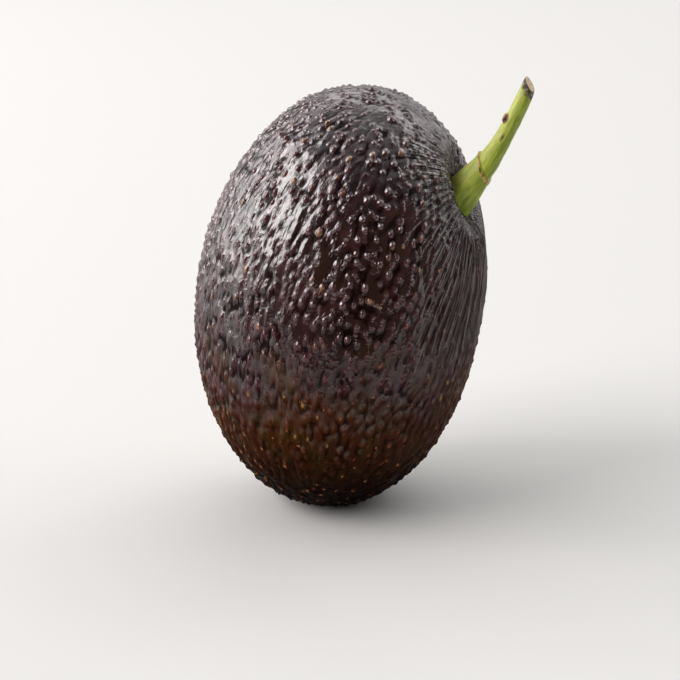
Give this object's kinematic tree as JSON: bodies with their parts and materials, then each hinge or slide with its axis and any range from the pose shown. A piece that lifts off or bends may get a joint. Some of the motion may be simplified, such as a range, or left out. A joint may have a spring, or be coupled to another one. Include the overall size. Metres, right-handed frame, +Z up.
{
  "type": "avocado",
  "caption": "Ripe avocado, egg-shaped with dark pebbled skin and its green stem attached, standing on the small flat spot at its base.",
  "frame": {"origin": "centre of the small flat spot that the fruit rests on", "axes": "+Z up through the fruit, -Y towards the front, +X to the side that the stem grows from"},
  "size_m": [0.0794, 0.07, 0.1082],
  "materials": {
    "skin": "satin pebbled skin, dark purple-black, browner towards the base, with tan flecks",
    "stalk": "fresh yellow-green stalk with brown ring, scars and dry cut tip"
  },
  "bodies": {
    "root": {"fruit": "skin", "stem": "stalk"}
  },
  "joints": []
}
